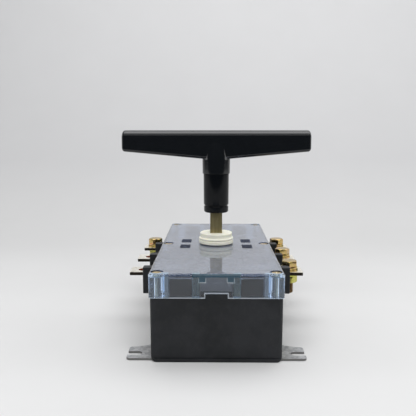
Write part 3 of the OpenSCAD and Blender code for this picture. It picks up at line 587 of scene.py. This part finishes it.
MATERIALS = {
    "base_moulding": dark_moulding(),
    "clear_cover": clear_polycarbonate(),
    "brass_screws": brass_screw(),
    "label_ink": label_ink(),
    "galvanised_steel": galvanised_steel(),
    "zinc_screws": steel("zinc_screws", (0.3, 0.3, 0.28), (0.56, 0.56, 0.53)),
    "tinned_copper": tinned_copper(),
    "yellow_zinc": yellow_zinc(),
    "bronze": steel("bronze", (0.36, 0.23, 0.09), (0.66, 0.46, 0.2)),
    "bright_steel": steel("bright_steel", (0.5, 0.51, 0.53), (0.72, 0.73, 0.75), (0.15, 0.35), (1, 0.1, 1)),
    "spring_steel": steel("spring_steel", (0.3, 0.32, 0.35), (0.55, 0.57, 0.6)),
    "shaft_steel": plated_shaft(),
    "sintered_steel": steel("sintered_steel", (0.3, 0.25, 0.16), (0.55, 0.47, 0.32), (0.35, 0.55)),
    "ivory_plastic": ivory_plastic(),
    "brown_phenolic": brown_phenolic(),
    "bare_copper": bare_copper(),
    "black_bakelite": glossy_bakelite(),
    "black_sleeve": glossy_bakelite("black_sleeve", (0.12, 0.2), 0.003, 0.18),
    "socket_steel": steel("socket_steel", (0.2, 0.2, 0.21), (0.42, 0.42, 0.43)),
}
SLOT_OF = {part["node"]: part["material_slot"] for part in frame["record"]["subparts"]}


def settle(obj, node, *also):
    """obj takes the place, body, slot and material of a CAD node, and of any others named."""
    slot = SLOT_OF[node]
    obj.data.materials.clear()
    obj.data.materials.append(MATERIALS[slot])
    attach(obj, frame["nodes"][node]["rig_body"])
    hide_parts(node, *also)
    return obj


def refined(node, width, segments=2, angle=30, shade=40, cuts=(), adds=()):
    """A new piece: a CAD node's shape with other solids added and cut, and its edges rounded."""
    source = frame["nodes"][node]
    bm = bmesh.new()
    bm.from_mesh(source.data)
    bmesh.ops.remove_doubles(bm, verts=bm.verts, dist=1e-6)
    bmesh.ops.dissolve_limit(bm, angle_limit=math.radians(0.4), verts=bm.verts, edges=bm.edges,
                             delimit=set())
    obj = to_object(node + "_piece", bm)
    boolean(obj, adds, "UNION")
    boolean(obj, cuts)
    bevel(obj, width, segments, angle)
    smooth(obj, shade)
    weigh_normals(obj)
    return settle(obj, node)


# ---------------------------------------------------------------- pieces built here


def build_dial():
    """The round dial, with a groove round its rim and a square hole for the shaft."""
    low, high = box_mm("position_dial")
    hub_r = box_mm("spacer_sleeve")[1].x + 1.5
    r, top = high.x, high.z
    z0 = box_mm("cover")[1].z + 0.9
    hole = box_mm("operating_shaft")[1].x + 0.05
    profile = [(0, low.z), (hub_r, low.z), (hub_r, z0)]
    profile += arc(r - 0.8, z0 + 0.8, 0.8, -90, 0)
    profile += arc(r - 0.6, z0 + 3.0, 0.6, 0, 90)
    profile += arc(r - 0.75, z0 + 3.75, 0.15, 270, 180, 3)
    profile += arc(r - 0.6, z0 + 4.6, 0.6, 270, 360)
    profile += arc(r - 0.8, z0 + 5.2, 0.8, 0, 90)
    profile += arc(r - 0.7, z0 + 6.5, 0.5, 270, 180, 4)
    profile += [(r - 1.2, z0 + 8.0), (r - 1.5, z0 + 8.2), (r - 1.5, z0 + 8.5), (r - 1.1, z0 + 8.7)]
    profile += arc(r - 1.8, top - 0.7, 0.7, 0, 90)
    profile += [(0, top)]
    dial = revolve("position_dial_piece", profile, segments=128)
    boolean(dial, [block("hole", (-hole, -hole, low.z - 1), (hole, hole, top + 1))])
    smooth(dial, 40)
    return settle(dial, "position_dial")


GRIP_HALF_T = 10.0       # half its thickness
GRIP_MID = 13.5          # half the length of its level middle
GRIP_END_R = 2.8         # roundness of its ends


def grip_section(x, half_l, top, end_low, mid_low):
    """The grip's outline at a distance x along it: domed, with a soft crease along front and back."""
    low_r, crease_r, dome = 3.0, 1.0, 4.4
    side = abs(x)
    low = mid_low + (end_low - mid_low) * max(0.0, (side - GRIP_MID) / (half_l - GRIP_MID))
    inset = 0.0
    if side > half_l - GRIP_END_R:
        inset = GRIP_END_R - math.sqrt(max(0.0, GRIP_END_R ** 2 - (side - half_l + GRIP_END_R) ** 2))
    z0, z1, hy = low + inset, top - inset, GRIP_HALF_T - inset
    low_r = max(low_r - inset * 0.6, 0.3)
    big_r = (hy ** 2 + dome ** 2) / (2 * dome)
    edge = math.degrees(math.asin((big_r - dome) / big_r))
    half = (arc(hy - low_r, z0 + low_r, low_r, -90, 0, 6)
            + arc(hy - crease_r, z1 - dome - 0.6, crease_r, 0, edge, 5)
            + arc(0, z1 - big_r, big_r, edge + 4, 90, 12))
    return [(x * MM, y * MM, z * MM) for y, z in half + [(-y, z) for y, z in reversed(half[:-1])]]


def lowest(node, test):
    """The lowest height, in millimetres, of a node's vertices that pass a test of their place."""
    places = (v.co / MM for v in frame["nodes"][node].data.vertices)
    return min(p.z for p in places if test(p))


def build_grip():
    """The cross-grip, with an oval boss that narrows upwards into it and a bore for the socket."""
    low, high = box_mm("handle_grip")
    boss_r = box_mm("handle_sleeve")[1].x + 0.95
    socket = box_mm("handle_socket")[1]
    half_l = high.x
    mid_low = low.z + 15
    end_low = lowest("handle_grip", lambda p: abs(p.x) > half_l - 4)
    steps = 12
    ends = [half_l - GRIP_END_R * (1 - math.sin(math.radians(90 * i / steps))) for i in range(steps + 1)]
    side = [20, 32, 46, 60, 74, 84] + ends
    stations = [-x for x in reversed(side)] + [-GRIP_MID, -6, 0, 6, GRIP_MID] + side
    grip = rings_to_object("handle_grip_piece", [
        grip_section(x, half_l, high.z, end_low, mid_low) for x in stations])

    # the boss's height above its foot, and what its half widths along X and Y have over boss_r
    sizes = [(z, grow, grow) for z, grow in (
        (0, -0.5), (0.15, -0.15), (0.5, 0), (5, 0.07), (10, 0.15), (13.5, 0.2))]
    sizes += [(z, 0.2 - shrink * 0.7, 0.2 - shrink) for z, shrink in (
        (15, 0.05), (18, 0.35), (24, 1.4), (30, 2.6), (36, 4.2))]
    turns = [TAU * k / 72 for k in range(72)]
    boss = rings_to_object("boss", [
        [((boss_r + dx) * math.cos(a) * MM, (boss_r + dy) * math.sin(a) * MM, (low.z + z) * MM)
         for a in turns] for z, dx, dy in sizes])
    boolean(grip, [boss], "UNION")

    # the bore is wider round the sleeve's upper end
    wide_r, wide_z = socket.x + 1.0, low.z + 14
    bore = revolve("bore", [(0, low.z - 1), (wide_r, low.z - 1), (wide_r, wide_z), (socket.x, wide_z),
                            (socket.x, socket.z), (0, socket.z)], segments=64)
    boolean(grip, [bore])
    bevel(grip, 0.6, 3, 32)
    smooth(grip, 50)
    weigh_normals(grip)
    return settle(grip, "handle_grip")


def build_sleeve():
    """The round sleeve under the grip, with a groove above its rounded lower edge."""
    low, high = box_mm("handle_sleeve")
    inner_r = box_mm("handle_socket")[1].x + 0.02
    grip_z = box_mm("handle_grip")[0].z
    r, z = high.x, low.z
    profile = [(inner_r, z)] + arc(r - 2.4, z + 2, 2, -90, 0)
    profile += [(r - 0.4, z + 5.8)] + arc(r - 0.7, z + 5.9, 0.3, 0, 90, 3)
    profile += arc(r - 1.0, z + 6.5, 0.3, 270, 180, 3) + arc(r - 1.0, z + 7.5, 0.3, 180, 90, 3)
    profile += arc(r - 0.5, z + 8.1, 0.3, 270, 360, 3)
    profile += [(r, grip_z - 0.4)] + arc(r - 0.4, grip_z - 0.42, 0.4, 0, 90, 3)
    profile += [(inner_r + 1.0, grip_z - 0.02), (inner_r + 1.0, high.z), (inner_r, high.z)]
    return settle(smooth(tube("handle_sleeve_piece", profile), 40), "handle_sleeve")


def hexagon(across, turn):
    """A hexagon's outline, from its size across flats and its turn."""
    r = across / 2 / math.cos(math.pi / 6)
    return [(r * math.cos(turn + TAU * k / 6), r * math.sin(turn + TAU * k / 6)) for k in range(6)]


def hex_piece(name, centre, across, height, turn, chamfer_low, chamfer_high):
    """A hexagon whose corners are turned off at 30 degrees, as on a bolt head or nut."""
    cx, cy, cz = centre
    body = prism(name, [(cx + x, cy + y) for x, y in hexagon(across, turn)], cz, cz + height)
    r = across / 2 / math.cos(math.pi / 6)
    flat_r = across / 2 * 0.97
    drop = (r - flat_r) * math.tan(math.radians(30))
    profile = [(0, 0)]
    profile += [(flat_r, 0), (r + 0.1, drop)] if chamfer_low else [(r + 0.1, 0)]
    profile += [(r + 0.1, height - drop), (flat_r, height)] if chamfer_high else [(r + 0.1, height)]
    profile += [(0, height)]
    boolean(body, [revolve("turned", profile, centre, 72)], "INTERSECT")
    return body


def threaded_rod(name, centre, z0, z1, r, pitch):
    """A rod with a helical thread between two heights, slightly pointed below."""
    cx, cy = centre
    sides, per_pitch = 40, 8
    depth = 0.6 * pitch
    steps = int((z1 - z0) / pitch * per_pitch)
    rings = []
    for i in range(steps + 1):
        z = z0 + (z1 - z0) * i / steps
        taper = min(1.0, 0.892 + 0.135 * (z - z0) / pitch)
        ring = []
        for k in range(sides):
            phase = (z / pitch - k / sides) % 1.0
            crest = 1 - abs(2 * phase - 1)
            thread_r = (r - depth * (1 - min(1.0, crest * 1.25))) * taper
            ring.append(around((cx, cy, 0), thread_r, z, k, sides))
        rings.append(ring)
    return rings_to_object(name, rings)


def bolt_places():
    """The bolted terminals' centres, from the boxes round the CAD bolts."""
    spots = {}
    for v in frame["nodes"]["terminal_bolts"].data.vertices:
        x, y = v.co.x / MM, v.co.y / MM
        spots.setdefault((x > 0, round(y / BAR_PITCH)), []).append((x, y))
    found = []
    for points in spots.values():
        xs, ys = zip(*points)
        found.append(((min(xs) + max(xs)) / 2, (min(ys) + max(ys)) / 2))
    return sorted(found)


def build_bolts():
    """The terminals' bolts and nuts, with a spring washer and two flat washers on each."""
    bar_low, bar_high = box_mm("load_bar_left")
    bolt_low, bolt_high = box_mm("terminal_bolts")
    nut_low, nut_high = box_mm("terminal_nuts")
    washer_low, washer_high = box_mm("terminal_spring_washers")
    across_flats, gap, flat_t = 13, 0.02, 1.6
    head_z = washer_high.z + gap
    hole_low, hole_high = nut_low.z - 1, nut_high.z + 1
    flat = [(4.2, 0), (7.85, 0), (8.0, 0.15), (8.0, flat_t - 0.3), (7.7, flat_t), (4.2, flat_t)]
    heads, nuts, springs, flats = [], [], [], []
    for i, (x, y) in enumerate(bolt_places()):
        turn = math.radians((12, 25, 5, 40)[i])
        head = hex_piece("head", (x, y, head_z), across_flats, bolt_high.z - head_z, turn, False, True)
        heads.append(bevel(head, 0.25, 2, 25))
        heads.append(threaded_rod("shank", (x, y), bolt_low.z, washer_high.z - 0.2, 3.98, 1.25))
        nut_h = nut_high.z - nut_low.z
        nut = hex_piece("nut", (x, y, nut_low.z), across_flats, nut_h, turn + 0.4, True, True)
        hole = revolve("hole", [(0, hole_low), (4.05, hole_low), (4.05, hole_high), (0, hole_high)],
                       (x, y, 0), 48)
        boolean(nut, [hole])
        nuts.append(bevel(nut, 0.25, 2, 25))
        springs.append(split_washer((x, y), washer_low.z, washer_high.z, 4.1, 7.4, 0.7 + i * 1.3))
        for z in (bar_high.z + gap, bar_low.z - flat_t - gap):
            flats.append(tube("flat", flat, (x, y, z), 64))
    settle(smooth(join("terminal_bolts_piece", heads), 30), "terminal_bolts")
    settle(smooth(join("terminal_nuts_piece", nuts), 30), "terminal_nuts")
    settle(smooth(join("terminal_spring_washers_piece", springs), 30), "terminal_spring_washers")
    settle(smooth(join("terminal_flat_washers_piece", flats), 30), "terminal_flat_washers")


def split_washer(centre, z0, z1, inner, outer, turn):
    """A spring washer: a square-section ring with a slanted gap."""
    cx, cy = centre
    gap = math.radians(7)
    steps = 60
    rings = []
    for i in range(steps + 1):
        a = turn + gap / 2 + (TAU - gap) * i / steps
        c, s = math.cos(a), math.sin(a)
        rings.append([((cx + r * c) * MM, (cy + r * s) * MM, z * MM) for r, z in (
            (inner, z0), (outer, z0), (outer, z1), (inner, z1))])
    return bevel(rings_to_object("split", rings), 0.2, 2, 40)


def cheese_head(r, height, edge):
    """A low screw head's profile in millimetres, from its underside up, with a rounded upper edge."""
    return [(0, 0), (r - 0.1, 0), (r, 0.12)] + arc(r - edge, height - edge, edge, 0, 90, 5) + [(0, height)]


def cross_cutter(x, y, z, size, depth, turn):
    """A tapered cross for a screw's driving recess."""
    parts = []
    for a in (turn, turn + math.pi / 2):
        c, s = math.cos(a), math.sin(a)
        rings = []
        for half, wide, h in ((size * 0.35, size * 0.07, z - depth), (size, size * 0.16, z + 0.5)):
            rings.append([((x + u * c - v * s) * MM, (y + u * s + v * c) * MM, h * MM) for u, v in (
                (-half, -wide), (half, -wide), (half, wide), (-half, wide))])
        parts.append(rings_to_object("cross", rings))
    return parts


def build_cover_screws():
    """Six cross-slotted screws with threads, three along each side of the cover."""
    low, high = box_mm("cover_screws")
    head_r, head_h = 4.2, 2.4
    far_x = (high.x - low.x) / 2 - head_r
    far_y = (high.y - low.y) / 2 - head_r
    head_z = high.z - head_h
    made = []
    for i, (x, y) in enumerate((sx * far_x, sy * far_y) for sx in (-1, 1) for sy in (-1, 0, 1)):
        screw = revolve("screw", cheese_head(head_r, head_h, 0.5), (x, y, head_z), 48)
        boolean(screw, cross_cutter(x, y, high.z, 2.4, 1.9, 0.5 + 0.83 * i))
        made.append(bevel(screw, 0.12, 2, 40))
        made.append(threaded_rod("thread", (x, y), low.z, head_z - 0.1, 1.98, 0.7))
    return settle(smooth(join("cover_screws_piece", made), 35), "cover_screws")


def build_labels():
    """Plain printed blocks beside the dial, with no lettering."""
    low, high = box_mm("position_labels")
    half_x, half_y = 5, 7.5
    made = []
    for side in (-1, 1):
        for y in (low.y + half_y, high.y - half_y):
            x = side * (high.x - half_x)
            outline = [(x + u, y + v) for u, v in round_rect(half_x, half_y, 0.8, 5)]
            made.append(prism("mark", outline, low.z, low.z + 0.2))
    return settle(smooth(join("position_labels_piece", made), 30), "position_labels")


def build_springs():
    """Round-wire springs over the upper contacts and under the lower ones."""
    low, high = box_mm("contact_springs")
    above_z = box_mm("upper_contact_strips")[0].z + 1.54
    below_z = box_mm("lower_contact_strips")[0].z + 0.86
    r, wire_r, gap = 3.0, 0.4, 0.02
    made = []
    for side in (-1, 1):
        x = side * (high.x - r - wire_r)
        for z0, z1 in ((above_z, high.z - gap), (low.z + gap, below_z)):
            made.append(helix("spring", (x, 0), z0, z1, r, wire_r, 3.5))
    return settle(smooth(join("contact_springs_piece", made), 60), "contact_springs")


def helix(name, centre, z0, z1, r, wire_r, turns):
    """Round wire wound about an upright axis."""
    steps, sides = int(turns * 28), 10
    rings = []
    for i in range(steps + 1):
        t = i / steps
        a = TAU * turns * t
        z = z0 + wire_r + (z1 - z0 - 2 * wire_r) * t
        ring = []
        for k in range(sides):
            b = TAU * k / sides
            out = r + wire_r * math.cos(b)
            ring.append(((centre[0] + out * math.cos(a)) * MM, (centre[1] + out * math.sin(a)) * MM,
                         (z + wire_r * math.sin(b)) * MM))
        rings.append(ring)
    return rings_to_object(name, rings)


def build_base():
    """The CAD base, with a lip in front of and behind the straps down to the floor."""
    high = box_mm("base")[1]
    strap_end = box_mm("rear_mounting_strap")[1].y + 0.15
    skin, foot_r, corner_r = 0.05, 4.9, 4.5
    side = arc(high.x - foot_r, foot_r, foot_r, -90, -23, 6)
    outline = side + [(-x, z) for x, z in reversed(side)]
    lips = []
    for end in (-1, 1):
        lip = rings_to_object("lip", [[(x * MM, end * y * MM, z * MM) for x, z in outline]
                                      for y in (strap_end, high.y - skin)])
        plan = prism("plan", round_rect(high.x - skin, high.y - skin, corner_r), -1, 5)
        lips.append(boolean(lip, [plan], "INTERSECT"))
    return refined("base", 0.5, 3, adds=lips)


def build_cover():
    """The CAD cover, with shallow windows inside its end skirts in front of the side panels."""
    low, high = box_mm("cover")
    near_x, far_x = SIDE_PANEL[0] + 0.1, SIDE_PANEL[1] - 0.3
    z0, z1 = low.z + 1.2, high.z - 4.2
    inner_y, depth = high.y - 3.0, 0.7
    cuts = []
    for end in (-1, 1):
        for x0, x1 in ((-far_x, -near_x), (near_x, far_x)):
            rings = []
            for y, grow in ((inner_y - 0.3, 0.5), (inner_y + depth, -0.3)):
                rings.append([(x * MM, end * y * MM, z * MM) for x, z in (
                    (x0 - grow, z0 - grow), (x1 + grow, z0 - grow),
                    (x1 + grow, z1 + grow), (x0 - grow, z1 + grow))])
            cuts.append(rings_to_object("window", rings))
    return refined("cover", 0.25, 2, cuts=cuts)


build_dial()
build_grip()
build_sleeve()
build_bolts()
build_cover_screws()
build_labels()
build_springs()
build_base()
build_cover()
refined("terminal_barriers", 0.5, 3)
for strap in ("front_mounting_strap", "rear_mounting_strap"):
    refined(strap, 0.25, 2)
for name in ("source_1_bar_left", "load_bar_left", "source_2_bar_left",
             "source_1_bar_right", "load_bar_right", "source_2_bar_right"):
    refined(name, 0.15, 2)
for name, width in (
        ("operating_shaft", 0.5), ("contact_carriage", 0.5), ("drive_rack", 0.12),
        ("drive_pinion", 0.12), ("detent_cam", 0.4), ("upper_contact_strips", 0.2),
        ("lower_contact_strips", 0.2), ("guide_rods", 0.4), ("rod_clamps", 0.2),
        ("spacer_sleeve", 0.3), ("shaft_washer", 0.15), ("shaft_bush", 0.2),
        ("handle_socket", 0.3), ("left_detent_spring", 0.1), ("right_detent_spring", 0.1),
        ("pinion_pin", 0.3), ("contact_guide_pins", 0.25), ("bar_fixing_screws", 0.1),
        ("rod_clamp_screws", 0.1), ("detent_spring_screws", 0.1), ("rack_screws", 0.1),
        ("strap_screws", 0.1)):
    refined(name, width)

# ---------------------------------------------------------------- floor, light and camera


def build_stage():
    """A pale sheet that runs along the floor and curves up behind the object."""
    s = Shader("pale_paper", (0.65, 0.65, 0.645), 0.75, Specular_IOR_Level=0.2)
    axes = s.node("ShaderNodeSeparateXYZ")
    s.link(s.place, axes.inputs[0])
    tone = s.ramp(s.noise(120, 3), (0.3, 0.98), (0.7, 1.0))
    # painted light and shade: the sheet is paler at the front of the floor, darker towards the back and at
    # the foot of the backdrop, and paler again higher up it
    across = s.ramp(s.maths("ADD", axes.outputs["Y"], 0.3), (0.1, 0.69), (0.33, 0.675), (0.65, 0.58))
    up = s.ramp(axes.outputs["Z"], (0.0, (1, 1, 1)), (0.12, (0.93, 0.93, 0.94)), (0.4, (1.03, 1.03, 1.04)),
                (0.85, (1.18, 1.18, 1.19)))
    s.colour(s.mix(1.0, s.mix(1.0, across, up, "MULTIPLY"), tone, "MULTIPLY"))
    s.bump(s.noise(1.5, 4), 0.05, 0.1)
    bend, start = 0.8, 0.35
    profile = [(-0.5, 0.0), (0.0, 0.0), (start, 0.0)]
    profile += [(start + bend * math.sin(a), bend - bend * math.cos(a))
                for a in (math.radians(90 * i / 24) for i in range(1, 25))]
    profile += [(start + bend, 3.0)]
    bm = bmesh.new()
    rows = [[bm.verts.new((x, y, z - 0.0001)) for x in (-3.0, 3.0)] for y, z in profile]
    for a, b in zip(rows, rows[1:]):
        bm.faces.new((a[0], a[1], b[1], b[0]))
    mesh = bpy.data.meshes.new("backdrop")
    bm.to_mesh(mesh)
    bm.free()
    floor = bpy.data.objects.new("backdrop", mesh)
    bpy.context.scene.collection.objects.link(floor)
    mesh.polygons.foreach_set("use_smooth", [True] * len(mesh.polygons))
    mesh.materials.append(s.material)


def area_light(name, place, target, size, power):
    """A white rectangular light at a place, aimed at a target."""
    data = bpy.data.lights.new(name, "AREA")
    data.shape = "RECTANGLE"
    data.size, data.size_y = size
    data.energy = power
    light = bpy.data.objects.new(name, data)
    bpy.context.scene.collection.objects.link(light)
    light.location = place
    light.rotation_euler = (Vector(target) - Vector(place)).to_track_quat("-Z", "Y").to_euler()


def build_light():
    """A dim sky, one large light in front, one over the backdrop and a small one on each side."""
    world = bpy.data.worlds.new("studio")
    bpy.context.scene.world = world
    world.use_nodes = True
    background = world.node_tree.nodes["Background"]
    background.inputs["Color"].default_value = (0.9, 0.94, 1.0, 1)
    background.inputs["Strength"].default_value = 0.1
    area_light("key", (0.0, -1.0, 1.3), (0, 0, 0.08), (1.8, 0.9), 20.5)
    area_light("top", (0.25, 0.5, 1.4), (0.25, 0.45, 0), (1.8, 0.9), 13.4)
    area_light("left", (-1.4, 0.1, 0.6), (0, 0, 0.1), (0.8, 1.0), 5)
    area_light("right", (1.4, 0.0, 0.6), (0, 0, 0.1), (0.8, 1.0), 5)
    bpy.context.scene.view_settings.view_transform = "Standard"


def build_camera():
    """Looks along +Y, a little down, from the front."""
    data = bpy.data.cameras.new("camera")
    data.sensor_width = 36
    data.lens = 46.2
    data.clip_start = 0.01
    camera = bpy.data.objects.new("camera", data)
    bpy.context.scene.collection.objects.link(camera)
    camera.location = (-0.0019, -0.5351, 0.1847)
    camera.rotation_euler = (math.radians(90 - 7.9), 0, math.radians(0.68))
    bpy.context.scene.camera = camera


build_stage()
build_light()
build_camera()
